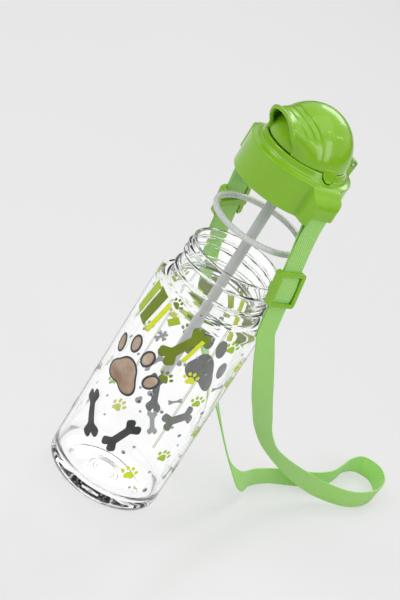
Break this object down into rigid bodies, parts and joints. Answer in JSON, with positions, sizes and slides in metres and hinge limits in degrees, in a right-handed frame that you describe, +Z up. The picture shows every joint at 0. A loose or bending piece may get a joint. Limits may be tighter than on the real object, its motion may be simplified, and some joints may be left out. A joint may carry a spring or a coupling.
{
  "type": "kids water bottle",
  "caption": "Clear kids water bottle with a screw cap, flip cover over a straw mouthpiece, seal ring and an adjustable webbing strap, shown with its cap lifted off.",
  "frame": {"origin": "centre of the bottle's base, on the surface it stands on", "axes": "+Z up along the bottle's axis, -Y towards the finger lip of the cover, strap ears at +X and -X"},
  "size_m": [0.0935, 0.2693, 0.2596],
  "materials": {
    "clear_body": "gloss",
    "green_plastic": "gloss",
    "webbing": "matte",
    "silicone": "satin",
    "straw_plastic": "satin",
    "steel": "satin"
  },
  "bodies": {
    "bottle": {"bottle_body": "clear_body"},
    "seal": {"seal_ring": "silicone"},
    "strap": {"strap_run_right": "webbing", "strap_floor_loop": "webbing", "strap_run_left": "webbing"},
    "cap": {"screw_cap": "green_plastic", "hinge_pin": "steel", "mouthpiece": "silicone", "straw": "straw_plastic", "air_valve": "silicone", "strap_pin_right": "steel", "strap_pin_left": "steel", "strap_loop_right": "webbing", "strap_loop_left": "webbing"},
    "cover": {"flip_cover": "green_plastic", "cover_plug": "silicone"},
    "slider_right": {"slider_right": "green_plastic"},
    "slider_left": {"slider_left": "green_plastic"}
  },
  "joints": [
    {"name": "seal_lift", "type": "slide", "parent": "bottle", "child": "seal", "axis": [0, 0, 1], "range_m": [-0.0216, 0.0283]},
    {"name": "cap_turn", "type": "hinge", "parent": "bottle", "child": "strap", "pos_m": [0, 0, 0], "axis": [0, 0, 1], "continuous": true},
    {"name": "cap_lift", "type": "slide", "parent": "strap", "child": "cap", "axis": [0, 0, 1], "range_m": [-0.065, 0.085], "deforming": ["strap_run_right", "strap_run_left"]},
    {"name": "cover_flip", "type": "hinge", "parent": "cap", "child": "cover", "pos_m": [0, 0.0274, 0.2352], "axis": [-1, 0, 0], "range_deg": [0, 110]},
    {"name": "slide_right", "type": "slide", "parent": "cap", "child": "slider_right", "axis": [0.1577, 0.0641, -0.9854], "range_m": [-0.008, 0.014]},
    {"name": "slide_left", "type": "slide", "parent": "cap", "child": "slider_left", "axis": [-0.1525, 0.3012, -0.9413], "range_m": [-0.008, 0.014]}
  ],
  "couplings": [
    {"joint": "seal_lift", "follows": "cap_lift", "ratio": 0.33231}
  ]
}
